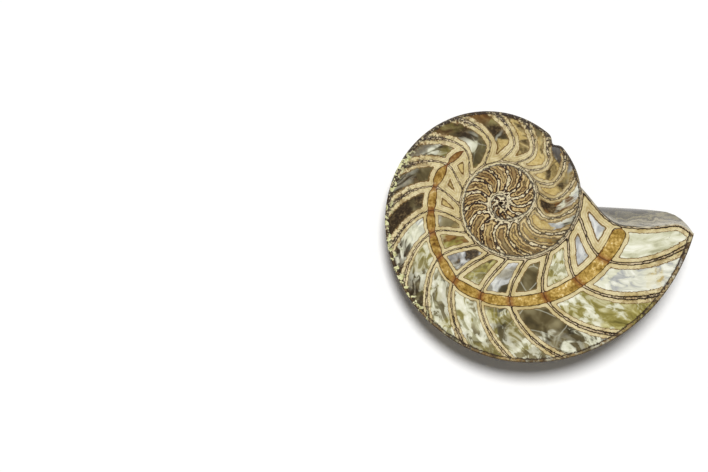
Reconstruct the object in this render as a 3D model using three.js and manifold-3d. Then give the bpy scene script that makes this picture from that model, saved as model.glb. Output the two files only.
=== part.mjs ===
// Half of a fossil nautilus, sawn through the middle of its coil and polished.
// Millimetres, +Z up. It lies on its rounded flank with the polished cut face up.
//
// Three kinds of piece: the shell (outer wall, septa and the small inner whorls, which grew as one),
// the siphuncle (the tube that runs through the septa), and the calcite that fills each chamber.
//
// The coil is drawn by its turn angle in degrees. It counts up as the shell grows, anticlockwise seen
// from above the cut face, so one whorl is 360. The last septum crosses the siphuncle at 709.

import * as THREE from "three";
import { mergeVertices } from "three/addons/utils/BufferGeometryUtils.js";
import Module from "manifold-3d";

// Driving dimensions

// Radius of the shell's outside, from the coil's centre, at a few turn angles.
const wallRadii = [
  [-270, 5.7], [-180, 7.0], [-90, 7.6], [-45, 8.8], [-10, 12.1], [20, 14.2], [60, 15.6], [120, 15.6],
  [180, 15.8], [210, 17.0], [240, 18.4], [270, 20.7], [300, 24.4], [330, 28.0], [350, 30.0], [370, 31.4],
  [400, 32.2], [420, 33.0], [450, 35.5], [480, 38.6], [510, 41.9], [540, 45.2], [570, 49.2], [600, 54.8],
  [630, 61.4], [660, 67.2], [690, 72.6], [712, 76.2],
];
const breakTurn = 409; // a nick in the outside where a flake of the outer wall is gone
const breakDepth = 2.0;
const breakWidth = 3.5; // degrees
const breakRound = 0.12; // share of the way round the section that it reaches down
const mouthRadius = 76.2; // the outside radius and the half width at the last septum
const mouthHalfWidth = 30;
const widthGrowth = 0.6; // the half width grows as the radius to this power

// The whorl's section is two joined quarter ellipses: the outer flank, and the turn into the umbilicus.
const flankCentre = 0.48; // where the section is widest, as a share of the outside radius
const umbilicusRadius = 0.12; // where the section stops, as the same share
const umbilicusDepth = 0.62; // and its depth there, as a share of the half width
const umbilicusFloor = 9; // depth of the middle of the umbilicus below the cut face

// Turn angle at which each septum crosses the siphuncle, from the mouth inwards.
const septumTurns = [
  709, 691, 674, 654.5, 634.5, 617, 598.5, 581, 563, 546, 526.5, 505, 484.5, 461, 438, 418, 400, 381, 364,
  342, 320, 300, 280,
];
const septumThickness = 1.2;
const wallShare = 0.022; // thickness of the wall, as a share of its radius
const thinnestWall = 0.75;
const dorsalSweep = [17, 21]; // degrees that a septum leans towards the mouth at the inner wall, early and late
const ventralSweep = [19, 17]; // and at the outer wall
const dorsalPower = 2.1;
const ventralPower = 1.5;
const flankSweep = 13; // and at the flank, where the dish of the septum comes forward
const flankReach = 0.6; // share of the way round the section at which it gets there
const lastVentralSweep = 6.5; // the last septum is flatter than the others
const lastFlankSweep = 8.4;
const lastFlankReach = 0.4;
const lipFall = 5; // degrees that its edge at the outer wall is worn back
const lipHeight = 0.82; // share of the way across the whorl where the wear begins
const lipRound = 0.24; // share of the way round the section where it ends
const lipPower = 1.5;
const nearby = 0.05; // height on each side of a place over which the slant of a septum is measured
const earlyTurn = 360; // turn angles at which the early and late sweeps hold
const lateTurn = 709;

// How far out across the whorl the siphuncle runs, by turn angle.
const siphuncleShares = [
  [380, 0.41], [520, 0.41], [546, 0.4], [581, 0.44], [598, 0.475], [617, 0.455], [640, 0.415], [674, 0.385],
  [710, 0.39],
];

const siphuncleTurns = [488, 706]; // it leaves the plane of the cut before this and ends at a rounded neck
const siphuncleWidth = 0.125; // its width, as a share of the whorl's height
const siphuncleEnd = 0.6; // its width at both ends, as a share of its width there
const neckPinch = 0.86; // its width at a septum, as a share of its width between them
const neckReach = 5; // degrees from a septum over which it narrows
const gap = 0.4; // left between pieces that touch

// The lie of the half on its flank: the cut face leans by restLean towards restLeanTowards.
const restLean = 7;
const restLeanTowards = 174;

// Facets
const bodyStep = 8; // degrees between sections of the outside
const wedgeTurns = [330, 458, 578, 698]; // the body is joined from three wedges and the mouth
const bodyRounds = [0, 0.12, 0.24, 0.36, 0.48, 0.6, 0.72, 0.86, 1];
const chamberRounds = [0, 0.12, 0.34, 0.5, 0.66]; // shares of the way round the section
const innerTurn = 385; // chambers before this stop a step sooner, above the umbilicus
const floorGap = 4; // times the gap: room under a fill, where its floor meets the inner wall at a slant
const wideChambers = 8; // so many chambers from the mouth have a facet more along the coil
const aboveCut = 0.06; // share of the way round by which what is cut away passes the cut face
const grooveRise = 2; // and the height above it that the siphuncle's groove reaches
const chamberHeights = [0, 0.16, 0.4, 0.7, 1]; // shares of the way across the whorl
const mouthHeights = [0, 0.16, 0.4, 0.7, 0.84, 1];
const mouthOverlap = 1; // degrees by which the mouth starts within the last wedge
const tubeFacets = 6;

const degrees = Math.PI / 180;

const wasm = await Module();
wasm.setup();

// The coil

// A smooth curve through the table's points, level beyond its ends (Catmull-Rom on uneven steps).
function smoothTable(table, x) {
  const last = table.length - 1;
  let k = 0;
  while (k < last - 1 && x > table[k + 1][0]) k += 1;
  const [x0, y0] = table[k];
  const [x1, y1] = table[k + 1];
  const slopeAt = (i) => {
    const [near, far] = [table[Math.max(i - 1, 0)], table[Math.min(i + 1, last)]];
    return ((far[1] - near[1]) / (far[0] - near[0])) * (x1 - x0);
  };
  const t = THREE.MathUtils.clamp((x - x0) / (x1 - x0), 0, 1);
  const [t2, t3] = [t * t, t * t * t];
  const straight = y0 * (2 * t3 - 3 * t2 + 1) + y1 * (3 * t2 - 2 * t3);
  return straight + slopeAt(k) * (t3 - 2 * t2 + t) + slopeAt(k + 1) * (t3 - t2);
}

function wallRadius(turn) {
  return smoothTable(wallRadii, turn);
}

function halfWidth(turn) {
  return mouthHalfWidth * (wallRadius(turn) / mouthRadius) ** widthGrowth;
}

// A point of the wall's section at a turn angle: x is its distance from the coil's axis and y its depth
// below the cut. round goes from 0 at the outer edge, over the flank, to 1 at the umbilicus, and below 0
// on the far side of the cut. outwards moves the point square to the wall.
function wallPoint(turn, round, outwards = 0) {
  const [radius, width] = [wallRadius(turn), halfWidth(turn)];
  const [across, down] = [Math.cos(round * Math.PI), Math.sin(round * Math.PI)];
  const isFlank = across >= 0;
  const reach = isFlank ? 1 - flankCentre : flankCentre - umbilicusRadius;
  const depth = isFlank ? 1 : 1 - umbilicusDepth;
  const point = new THREE.Vector2(radius * (flankCentre + reach * across), width * (1 - depth + depth * down));
  const normal = new THREE.Vector2(width * depth * across, radius * reach * down).normalize();
  const nick = breakDepth * Math.exp(-(((turn - breakTurn) / breakWidth) ** 2) - (round / breakRound) ** 2);
  return point.addScaledVector(normal, outwards - nick);
}

// A point inside the whorl: height goes from 0 at its inner wall to 1 at its outer wall. The insets move
// the two walls into the whorl.
function whorlPoint(turn, height, round, innerInset = 0, outerInset = 0) {
  const section = wallPoint(turn - 360, round, innerInset).lerp(wallPoint(turn, round, -outerInset), height);
  return new THREE.Vector3(section.x * Math.cos(turn * degrees), section.x * Math.sin(turn * degrees), -section.y);
}

function wallThickness(turn) {
  return Math.max(thinnestWall, wallShare * wallRadius(turn));
}

// The septa

function sweepAt([early, late], turn) {
  return THREE.MathUtils.mapLinear(turn, earlyTurn, lateTurn, early, late);
}

// How far the outer edge of the last septum is worn back, in degrees.
function lipWear(height, round) {
  const near = Math.max(0, (height - lipHeight) / (1 - lipHeight)) ** lipPower;
  return lipFall * near * (1 - THREE.MathUtils.smoothstep(round, 0, lipRound));
}

// How far towards the mouth, in degrees, a septum has come at a place in the section.
function septumLean(turn, height, round) {
  const isLast = turn === septumTurns[0];
  const outer = isLast ? lastVentralSweep : sweepAt(ventralSweep, turn);
  const inner = sweepAt(dorsalSweep, turn);
  const flank = isLast ? lastFlankSweep : flankSweep;
  const reach = isLast ? lastFlankReach : flankReach;
  const vertex = smoothTable(siphuncleShares, turn);
  const inwards = Math.max(0, 1 - height / vertex);
  const outwards = Math.max(0, (height - vertex) / (1 - vertex));
  const middle = inner * inwards ** dorsalPower + outer * outwards ** ventralPower;
  const lean = THREE.MathUtils.lerp(middle, flank, THREE.MathUtils.smoothstep(round, 0, reach));
  return isLast ? lean - lipWear(height, round) : lean;
}

// The turn angle of a septum's middle at a place in the section, moved square to it by some millimetres.
function septumTurn(index, height, round, shift = 0) {
  const turn = septumTurns[index];
  const radius = whorlPoint(turn, height, round).setZ(0).length();
  const [above, below] = [height + nearby, height - nearby];
  const across = whorlPoint(turn, above, round).distanceTo(whorlPoint(turn, below, round));
  const lean = septumLean(turn, above, round) - septumLean(turn, below, round);
  const slant = Math.hypot(1, (lean * degrees * radius) / across);
  return turn + septumLean(turn, height, round) + (shift * slant) / radius / degrees;
}

// Solids

function solidFromTriangles(positions) {
  const loose = new THREE.BufferGeometry();
  loose.setAttribute("position", new THREE.Float32BufferAttribute(positions, 3));
  const merged = mergeVertices(loose, 1e-4);
  const index = [...merged.index.array];
  const kept = [];
  for (let i = 0; i < index.length; i += 3) {
    const [a, b, c] = index.slice(i, i + 3);
    if (a !== b && b !== c && c !== a) kept.push(a, b, c);
  }
  const mesh = new wasm.Mesh({
    numProp: 3,
    vertProperties: merged.attributes.position.array,
    triVerts: new Uint32Array(kept),
  });
  return new wasm.Manifold(mesh);
}

function pushTriangle(positions, a, b, c) {
  for (const p of [a, b, c]) positions.push(p.x, p.y, p.z);
}

function pushQuad(positions, a, b, c, d) {
  pushTriangle(positions, a, b, c);
  pushTriangle(positions, a, c, d);
}

// A six-sided block whose corners and faces follow pointAt(along, across, deep).
function blockSolid(pointAt, alongs, acrosses, deeps) {
  const positions = [];
  const face = (firsts, seconds, place, turned) => {
    for (let i = 0; i + 1 < firsts.length; i += 1) {
      for (let j = 0; j + 1 < seconds.length; j += 1) {
        const near = place(firsts[i], seconds[j]);
        const far = place(firsts[i + 1], seconds[j + 1]);
        const sides = [place(firsts[i + 1], seconds[j]), place(firsts[i], seconds[j + 1])];
        if (turned) sides.reverse();
        pushQuad(positions, near, sides[0], far, sides[1]);
      }
    }
  };
  for (const [end, turned] of [[0, true], [1, false]]) {
    const pick = (list) => list[end ? list.length - 1 : 0];
    face(alongs, acrosses, (a, c) => pointAt(a, c, pick(deeps)), turned);
    face(acrosses, deeps, (c, d) => pointAt(pick(alongs), c, d), turned);
    face(deeps, alongs, (d, a) => pointAt(a, pick(acrosses), d), turned);
  }
  return solidFromTriangles(positions);
}

// A solid through a row of closed outlines that have equally many points. Each end is closed by a fan
// from the outline's first point.
function loftSolid(outlines) {
  const positions = [];
  for (let i = 0; i + 1 < outlines.length; i += 1) {
    const [near, far] = [outlines[i], outlines[i + 1]];
    near.forEach((point, k) => {
      const next = (k + 1) % near.length;
      pushQuad(positions, point, near[next], far[next], far[k]);
    });
  }
  const first = outlines[0];
  const last = outlines[outlines.length - 1];
  for (let k = 1; k + 1 < first.length; k += 1) {
    pushTriangle(positions, first[0], first[k + 1], first[k]);
    pushTriangle(positions, last[0], last[k], last[k + 1]);
  }
  return solidFromTriangles(positions);
}

function span(from, to, step) {
  const count = Math.ceil((to - from) / step);
  return Array.from({ length: count + 1 }, (_, i) => from + ((to - from) * i) / count);
}

// The whole half, with nothing cut out of it

// From the coil's axis out to the outside, between two turn angles less than a whorl apart.
function whorlWedge(from, to) {
  const nick = [breakTurn - breakWidth, breakTurn, breakTurn + breakWidth];
  const turns = [...span(from, to, bodyStep), ...nick.filter((turn) => turn > from && turn < to)];
  turns.sort((a, b) => a - b);
  const outlines = turns.map((turn) => [
    new THREE.Vector3(0, 0, 0),
    ...bodyRounds.map((round) => whorlPoint(turn, 1, round)),
    new THREE.Vector3(0, 0, -umbilicusFloor),
  ]);
  return loftSolid(outlines);
}

// The last stretch of the whorl, which ends in the dish of the last septum.
function whorlMouth(from) {
  const pointAt = (along, height, round) => {
    const end = septumTurn(0, height, round, septumThickness / 2);
    return whorlPoint(THREE.MathUtils.lerp(from, end, along), height, round, -gap);
  };
  return blockSolid(pointAt, [0, 0.5, 1], mouthHeights, bodyRounds);
}

function wholeHalf() {
  const [start, second, third, end] = wedgeTurns;
  const wedges = [whorlWedge(start, second), whorlWedge(second, third), whorlWedge(third, end)];
  return wedges.reduce((sum, wedge) => sum.add(wedge), whorlMouth(end - mouthOverlap));
}

// Chambers

// The space between two septa. grow widens it on every side and carries it past the cut face.
function chamberSolid(index, grow) {
  const turn = septumTurns[index];
  const toSeptum = septumThickness / 2 - grow;
  const pointAt = (along, height, round) => {
    const inner = wallThickness(turn - 360) - grow;
    const outer = wallThickness(turn) - grow;
    const inset = ((1 - height) * inner - height * outer) / (wallRadius(turn) - wallRadius(turn - 360));
    const back = septumTurn(index + 1, height + inset, round, toSeptum);
    const front = septumTurn(index, height + inset, round, -toSeptum);
    return whorlPoint(THREE.MathUtils.lerp(back, front, along), height, round, inner, outer);
  };
  const rounds = chamberRounds.slice(0, turn > innerTurn ? undefined : -1);
  if (grow) rounds.unshift(-aboveCut);
  if (grow) rounds.push(rounds.at(-1) + (floorGap * grow) / wallRadius(turn - 360));
  return blockSolid(pointAt, index < wideChambers ? [0, 0.5, 1] : [0, 1], chamberHeights, rounds);
}

// The siphuncle

function siphuncleRadius(turn) {
  const height = wallRadius(turn) - wallRadius(turn - 360);
  const toSeptum = Math.min(...septumTurns.map((septum) => Math.abs(turn - septum)));
  const pinch = THREE.MathUtils.lerp(neckPinch, 1, THREE.MathUtils.smoothstep(toSeptum, 0, neckReach));
  return (height * siphuncleWidth * pinch) / 2;
}

// wider is added to the tube's radius, and rise carries its flat side past the cut face.
function siphuncleSolid(wider, rise) {
  const [from, to] = siphuncleTurns;
  const inside = septumTurns.filter((turn) => turn > from && turn < to).reverse();
  const turns = [from];
  inside.forEach((turn, i) => turns.push(turn, (turn + (inside[i + 1] ?? to)) / 2));
  turns.push(to);
  const centre = (turn) => whorlPoint(turn, smoothTable(siphuncleShares, turn), 0);
  const outlines = turns.map((turn, i) => {
    const isEnd = i === 0 || i === turns.length - 1;
    const radius = siphuncleRadius(turn) * (isEnd ? siphuncleEnd : 1) + wider;
    const ahead = centre(turn + 0.5).sub(centre(turn - 0.5)).normalize();
    const outward = new THREE.Vector3(ahead.y, -ahead.x, 0);
    const shift = (turn === from ? -1 : turn === to ? 1 : 0) * wider;
    const ring = [];
    for (let k = 0; k <= tubeFacets; k += 1) {
      const swing = (k / tubeFacets) * Math.PI;
      const point = centre(turn).addScaledVector(outward, radius * Math.cos(swing));
      ring.push(point.addScaledVector(ahead, shift).setZ(-radius * Math.sin(swing)));
    }
    if (rise) ring.push(ring.at(-1).clone().setZ(rise), ring[0].clone().setZ(rise));
    return ring;
  });
  return loftSolid(outlines);
}

// Meshes

const shellColour = new THREE.MeshStandardMaterial({ color: 0x9c8358, roughness: 0.35, metalness: 0 });
const siphuncleColour = new THREE.MeshStandardMaterial({ color: 0xb07d2a, roughness: 0.3, metalness: 0 });
const calciteColour = new THREE.MeshStandardMaterial({ color: 0xb9b58c, roughness: 0.2, metalness: 0 });

function namedMesh(name, solid, material) {
  const { numProp, numVert, vertProperties, triVerts } = solid.getMesh();
  const positions = new Float32Array(numVert * 3);
  for (let i = 0; i < numVert; i += 1) {
    positions.set(vertProperties.subarray(i * numProp, i * numProp + 3), i * 3);
  }
  const geometry = new THREE.BufferGeometry();
  geometry.setAttribute("position", new THREE.BufferAttribute(positions, 3));
  geometry.setIndex(new THREE.BufferAttribute(triVerts, 1));
  geometry.computeVertexNormals();
  const mesh = new THREE.Mesh(geometry, material);
  mesh.name = name;
  return mesh;
}

const half = new THREE.Group();

const siphuncleGroove = siphuncleSolid(gap, grooveRise);
let shell = wholeHalf().subtract(siphuncleGroove);
for (let i = 0; i + 1 < septumTurns.length; i += 1) {
  shell = shell.subtract(chamberSolid(i, gap));
  const fill = chamberSolid(i, 0).subtract(siphuncleGroove);
  half.add(namedMesh(`chamber_fill_${String(i + 1).padStart(2, "0")}`, fill, calciteColour));
}
half.add(namedMesh("shell", shell, shellColour));
half.add(namedMesh("siphuncle", siphuncleSolid(0, 0), siphuncleColour));

// Laid on its flank, with its lowest point at height 0 and the middle of its box over the origin
const leanAxis = new THREE.Vector3(-Math.sin(restLeanTowards * degrees), Math.cos(restLeanTowards * degrees), 0);
half.quaternion.setFromAxisAngle(leanAxis, restLean * degrees);
half.updateMatrixWorld(true);
const box = new THREE.Box3().setFromObject(half, true);
const middle = box.getCenter(new THREE.Vector3());
half.position.set(-middle.x, -middle.y, -box.min.z);

const nautilus = new THREE.Group();
nautilus.add(half);

export default nautilus;
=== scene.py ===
# Half of a fossil nautilus, cut through the middle of its coil and polished, lying face up.
# Lengths are in millimetres until a mesh is laid down, and turn angles in degrees: one whorl is 360.
import math

import bpy
import numpy as np
from mathutils import Matrix


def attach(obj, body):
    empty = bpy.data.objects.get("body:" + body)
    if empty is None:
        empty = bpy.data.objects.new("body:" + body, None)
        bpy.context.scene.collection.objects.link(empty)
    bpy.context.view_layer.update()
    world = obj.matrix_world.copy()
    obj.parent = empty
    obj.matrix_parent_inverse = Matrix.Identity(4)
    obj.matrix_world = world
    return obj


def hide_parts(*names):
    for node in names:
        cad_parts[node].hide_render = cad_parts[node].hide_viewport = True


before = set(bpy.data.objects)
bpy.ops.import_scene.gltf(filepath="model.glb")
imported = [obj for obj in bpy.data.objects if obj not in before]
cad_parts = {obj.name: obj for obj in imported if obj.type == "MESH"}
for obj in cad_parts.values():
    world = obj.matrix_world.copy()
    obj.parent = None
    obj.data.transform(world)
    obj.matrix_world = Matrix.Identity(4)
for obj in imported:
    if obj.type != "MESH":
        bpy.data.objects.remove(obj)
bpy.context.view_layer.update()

mm = 0.001

# The coil, as it is in the solids
coil = {
    # radius of the outside at a few turn angles
    "wall": [(-1000, 0.1), (-760, 0.25), (-620, 0.6), (-520, 1.3), (-420, 2.2), (-360, 2.8), (-300, 3.4),
             (-240, 4.2), (-180, 5.0), (-130, 5.9), (-90, 7.2), (-45, 8.8), (-10, 12.1), (20, 14.2),
             (60, 15.6), (120, 15.6), (180, 15.8), (210, 17.0), (240, 18.4), (270, 20.7), (300, 24.4),
             (330, 28.0), (350, 30.0), (370, 31.4), (400, 32.2), (420, 33.0), (450, 35.5), (480, 38.6),
             (510, 41.9), (540, 45.2), (570, 49.2), (600, 54.8), (630, 61.4), (660, 67.2), (690, 72.6),
             (712, 76.2)],
    "mouthRadius": 76.2,
    "mouthHalfWidth": 30,
    "widthGrowth": 0.6,  # power of the radius that the width grows with
    "flankCentre": 0.48,  # share of the radius where the flank is deepest
    "umbilicusRadius": 0.12,  # and where it ends, at the umbilicus
    "umbilicusDepth": 0.62,  # share of the width, where the flank ends
    "umbilicusFloor": 9,  # and its least depth
    "nickTurn": 409,  # where a flake of the outer wall is gone
    "nickDepth": 2.0,
    "nickWidth": 3.5,
    "nickRound": 0.12,
    "polishedOff": 0.14,  # keeps the smooth outside within the faceted solids
    "polishedPart": 5,  # but takes no more than this part of the radius
    "lean": 7,  # of the cut face, as the half lies on its flank
    "leanTowards": 174,
    "centreAt": (-14.6081, 13.2344, 25.8162),
}

septa = {
    # turn angle where each crosses the siphuncle, from the mouth inwards; the last ones are only drawn
    "turns": [709, 691, 674, 654.5, 634.5, 617, 598.5, 581, 563, 546, 526.5, 505, 484.5, 461, 438, 418, 400,
              381, 364, 342, 320, 300, 280, 255, 229, 203, 178, 152, 126, 99, 72, 45, 17, -12, -41, -71, -103,
              -136, -170, -205, -245, -290, -340, -400, -470],
    "filled": 22,  # chambers that are pieces of their own
    "halfThickness": 0.5,
    "thinnerWithin": 20,  # radius of the coil within which they get thinner
    "dorsalSweep": (17, 21),  # lean towards the mouth at the inner wall, early and late
    "ventralSweep": (19, 17),  # and at the outer wall
    "dorsalPower": 2.1,
    "ventralPower": 1.5,
    "flankSweep": 13,
    "flankReach": 0.6,
    "lastVentralSweep": 6.5,  # the last septum is flatter
    "lastFlankSweep": 8.4,
    "lastFlankReach": 0.4,
    "lipFall": 5.1,  # degrees that its outer edge is worn back
    "lipHeight": 0.82,
    "lipRound": 0.24,
    "lipPower": 1.5,
    "earlyTurn": 360,
    "lateTurn": 709,
    "slantStep": 0.05,  # in height, to either side of where the slant is taken
    "smallBefore": -200,  # turn angle before which the slant is kept down
    "mostSlant": 6,
}

siphuncle = {
    # how far out across the whorl it runs
    "share": [(380, 0.41), (520, 0.41), (546, 0.4), (581, 0.44), (598, 0.475), (617, 0.455), (640, 0.415),
              (674, 0.385), (710, 0.39)],
    # its half width: the two first beads are cut off centre, so they show as narrow lenses
    "halfWidth": [(485.7, 0), (488, 0.7), (494, 1.15), (500, 0.95), (504, 0.42), (507, 1.2), (512, 1.75),
                  (520, 1.7), (525, 1.15), (530, 1.6), (560, 1.75), (580, 1.8), (600, 1.95), (640, 2.15),
                  (665, 2.5), (690, 2.75), (703, 2.9), (706.5, 2.5), (707.8, 1.4), (708.4, 0)],
    "neckPinch": [(600, 0.7), (650, 0.94)],  # narrower where it goes through a septum, less so near the mouth
    "neckReach": 5,  # degrees over which it is narrower
    "leastRow": 0.25,  # half width of its rows in the mesh where there is no tube
    "rows": 6,
    # the first bead is brown, the next ones have a tinge of it: how much, and the turn angles it fades over
    "brownBead": (0.45, 500, 507),
    "brownTinge": (0.2, 560, 640),
}

wallLayer = {
    "share": 0.022,  # thickness as a share of the radius
    "least": 0.75,
}

# How finely the meshes are laid out
layout = {
    "dorsalRows": 9,
    "ventralRows": 21,
    "evenRows": 0.6,  # how evenly they are spaced: 1 is even, and 0 has them closest together at both ends
    "columns": [(8, 17), (22, 13), (36, 8), (99, 5)],  # up to which chamber, and how many
    "evenColumns": 0.5,  # likewise, from septum to septum
    "mouthColumns": [0.93, 0.96, 0.985],  # extra ones where the siphuncle ends
    # places round the flank, closer together where its outline shows
    "rounds": [0.02, 0.045, 0.075, 0.11, 0.15, 0.19, 0.23, 0.27, 0.31, 0.355, 0.4, 0.45, 0.5, 0.56, 0.62, 0.68,
               0.74, 0.8, 0.87, 0.94, 1.0],
    "deepRounds": [0.12, 0.34, 0.5, 0.66],  # of the chambers, as shares of the way round the section
    "shallowRounds": [0.1, 0.22, 0.36, 0.5],
    "shallowBefore": 385,
    "smoothAngle": 30,
    "mergeWithin": 0.001,
    "gridSize": 0.1,  # metres, before its points are placed
}

# from the coil's own plane to where the half lies
towards = math.radians(coil["leanTowards"])
lie = (Matrix.Translation([c * mm for c in coil["centreAt"]])
       @ Matrix.Rotation(math.radians(coil["lean"]), 4, (-math.sin(towards), math.cos(towards), 0)))

print("camera")
view = {
    "middle": (-57.7, -12.9),  # of the picture, from the coil's centre
    "distance": 1200,
    "frameWidth": 276.1,
    "farClip": 20,  # metres
}
bpy.ops.object.camera_add()
camera = bpy.context.object
bpy.context.scene.camera = camera
camera.matrix_world = lie @ Matrix.Translation([c * mm for c in (*view["middle"], view["distance"])])
camera.data.lens = camera.data.sensor_width * view["distance"] / view["frameWidth"]
camera.data.clip_end = view["farClip"]


# A smooth curve through the table's points, level beyond its ends
def smoothTable(table, x):
    xs, ys = np.array(table, float).T
    ahead = np.minimum(np.arange(len(xs)) + 1, len(xs) - 1)
    behind = np.maximum(np.arange(len(xs)) - 1, 0)
    slopes = (ys[ahead] - ys[behind]) / (xs[ahead] - xs[behind])
    k = np.clip(np.searchsorted(xs, x) - 1, 0, len(xs) - 2)
    step = xs[k + 1] - xs[k]
    t = np.clip((x - xs[k]) / step, 0, 1)
    straight = ys[k] * (2 * t**3 - 3 * t**2 + 1) + ys[k + 1] * (3 * t**2 - 2 * t**3)
    return straight + slopes[k] * step * (t**3 - 2 * t**2 + t) + slopes[k + 1] * step * (t**3 - t**2)


def smoothStep(x, low, high):
    t = np.clip((x - low) / (high - low), 0, 1)
    return t * t * (3 - 2 * t)


def wallRadius(turn):
    return smoothTable(coil["wall"], turn)


def wallThickness(turn):
    return np.maximum(wallLayer["least"], wallLayer["share"] * wallRadius(turn))


def whorlHeight(turn):
    return wallRadius(turn) - wallRadius(turn - 360)


# Distance from the coil's axis, and depth below the cut, of a point of the wall. around goes from 0 at the
# outer edge, over the flank, to 1 at the umbilicus.
def wallSection(turn, around):
    radius = wallRadius(turn)
    width = coil["mouthHalfWidth"] * (radius / coil["mouthRadius"]) ** coil["widthGrowth"]
    rim = np.maximum(coil["umbilicusDepth"] * width, coil["umbilicusFloor"])
    across, down = np.cos(around * np.pi), np.sin(around * np.pi)
    onFlank = across >= 0
    reach = radius * np.where(onFlank, 1 - coil["flankCentre"], coil["flankCentre"] - coil["umbilicusRadius"])
    rise = np.where(onFlank, width, width - rim)
    out = radius * coil["flankCentre"] + reach * across
    deep = width - rise + rise * down
    length = np.hypot(rise * across, reach * down)
    nickShape = -(((turn - coil["nickTurn"]) / coil["nickWidth"]) ** 2) - (around / coil["nickRound"]) ** 2
    off = np.minimum(coil["polishedOff"], radius / coil["polishedPart"])
    off = off + coil["nickDepth"] * np.exp(nickShape)
    return out - off * rise * across / length, deep - off * reach * down / length


# A point in the whorl: height goes from 0 at its inner wall to 1 at its outer wall
def whorlPoint(turn, height, around):
    innerOut, innerDeep = wallSection(turn - 360, around)
    outerOut, outerDeep = wallSection(turn, around)
    out = innerOut + (outerOut - innerOut) * height
    deep = innerDeep + (outerDeep - innerDeep) * height
    angle = np.radians(turn)
    return np.stack([out * np.cos(angle), out * np.sin(angle), -deep], -1)


# How far towards the mouth, in degrees, a septum has come at a place in the section
def septumLean(index, height, around):
    turn = septa["turns"][index]
    late = (turn - septa["earlyTurn"]) / (septa["lateTurn"] - septa["earlyTurn"])
    inner = septa["dorsalSweep"][0] + late * (septa["dorsalSweep"][1] - septa["dorsalSweep"][0])
    outer = septa["ventralSweep"][0] + late * (septa["ventralSweep"][1] - septa["ventralSweep"][0])
    flank, reach = septa["flankSweep"], septa["flankReach"]
    if index == 0:
        outer, flank, reach = septa["lastVentralSweep"], septa["lastFlankSweep"], septa["lastFlankReach"]
    vertex = smoothTable(siphuncle["share"], turn)
    inwards = np.maximum(0, 1 - height / vertex)
    outwards = np.maximum(0, (height - vertex) / (1 - vertex))
    middle = inner * inwards ** septa["dorsalPower"] + outer * outwards ** septa["ventralPower"]
    lean = middle + (flank - middle) * smoothStep(around, 0, reach)
    if index == 0:
        near = np.maximum(0, (height - septa["lipHeight"]) / (1 - septa["lipHeight"])) ** septa["lipPower"]
        lean = lean - septa["lipFall"] * near * (1 - smoothStep(around, 0, septa["lipRound"]))
    return lean


# The turn angle of a septum's middle at a place in the section, moved square to it by some millimetres
def septumTurn(index, height, around, shift):
    turn = septa["turns"][index]
    here = whorlPoint(turn, height, around)
    radius = np.maximum(np.hypot(here[..., 0], here[..., 1]), 1)
    inner, outer = height - septa["slantStep"], height + septa["slantStep"]
    across = np.linalg.norm(whorlPoint(turn, outer, around) - whorlPoint(turn, inner, around), axis=-1)
    lean = septumLean(index, outer, around) - septumLean(index, inner, around)
    slant = np.hypot(1, np.radians(lean) * radius / across)
    if turn < septa["smallBefore"]:
        slant = np.minimum(slant, septa["mostSlant"])
    return turn + septumLean(index, height, around) + np.degrees(shift * slant / radius)


def septumHalf(index):
    return septa["halfThickness"] * min(1, wallRadius(septa["turns"][index]) / septa["thinnerWithin"])


# Shares from 0 to 1, closer together at both ends unless they are spaced evenly
def spacedShares(count, even):
    steps = np.linspace(0, 1, count + 1)
    return even * steps + (1 - even) * (0.5 - 0.5 * np.cos(np.pi * steps))


# The columns run across the whorl and follow the septa: three on each septum, the others between two septa.
# A column is (chamber or septum in front of it, share of the way towards that septum, side of the septum).
def layColumns():
    columns = []
    for index in reversed(range(len(septa["turns"]))):
        columns += [(index, 0, side) for side in (-1, 0, 1)]
        if index == 0:
            break
        count = next(count for last, count in layout["columns"] if index - 1 < last)
        shares = list(spacedShares(count, layout["evenColumns"])[1:-1])
        if index == 1:
            shares = sorted(shares + layout["mouthColumns"])
        columns += [(index - 1, share, 0) for share in shares]
    return columns


# The turn angle that a column stands for, and those of its points
def columnMiddle(column):
    index, share, _ = column
    if share == 0:
        return septa["turns"][index]
    return septa["turns"][index + 1] + share * (septa["turns"][index] - septa["turns"][index + 1])


def columnTurn(column, height, around):
    index, share, side = column
    if share == 0:
        return septumTurn(index, height, around, side * septumHalf(index))
    back = septumTurn(index + 1, height, around, septumHalf(index + 1))
    front = septumTurn(index, height, around, -septumHalf(index))
    return back + share * (front - back)


def tubeHalfWidth(turn):
    toSeptum = min(abs(turn - septum) for septum in septa["turns"])
    neck = smoothTable(siphuncle["neckPinch"], turn)
    pinch = neck + (1 - neck) * smoothStep(toSeptum, 0, siphuncle["neckReach"])
    return smoothTable(siphuncle["halfWidth"], turn) * pinch


# The heights of a column's rows: inner wall, dorsal part, siphuncle, ventral part and outer wall
def rowHeights(column):
    turn = columnMiddle(column)
    whorl = whorlHeight(turn)
    bottom = wallThickness(turn - 360) / whorl
    top = 1 - wallThickness(turn) / whorl
    middle = smoothTable(siphuncle["share"], turn)
    half = max(tubeHalfWidth(turn), siphuncle["leastRow"] * min(1, whorl / septa["thinnerWithin"])) / whorl
    dorsal = bottom + (middle - half - bottom) * spacedShares(layout["dorsalRows"], layout["evenRows"])
    tube = middle - half + 2 * half * spacedShares(siphuncle["rows"], 0)
    ventral = middle + half + (top - middle - half) * spacedShares(layout["ventralRows"], layout["evenRows"])
    return np.concatenate([[0], dorsal, tube[1:-1], ventral, [1]])


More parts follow.
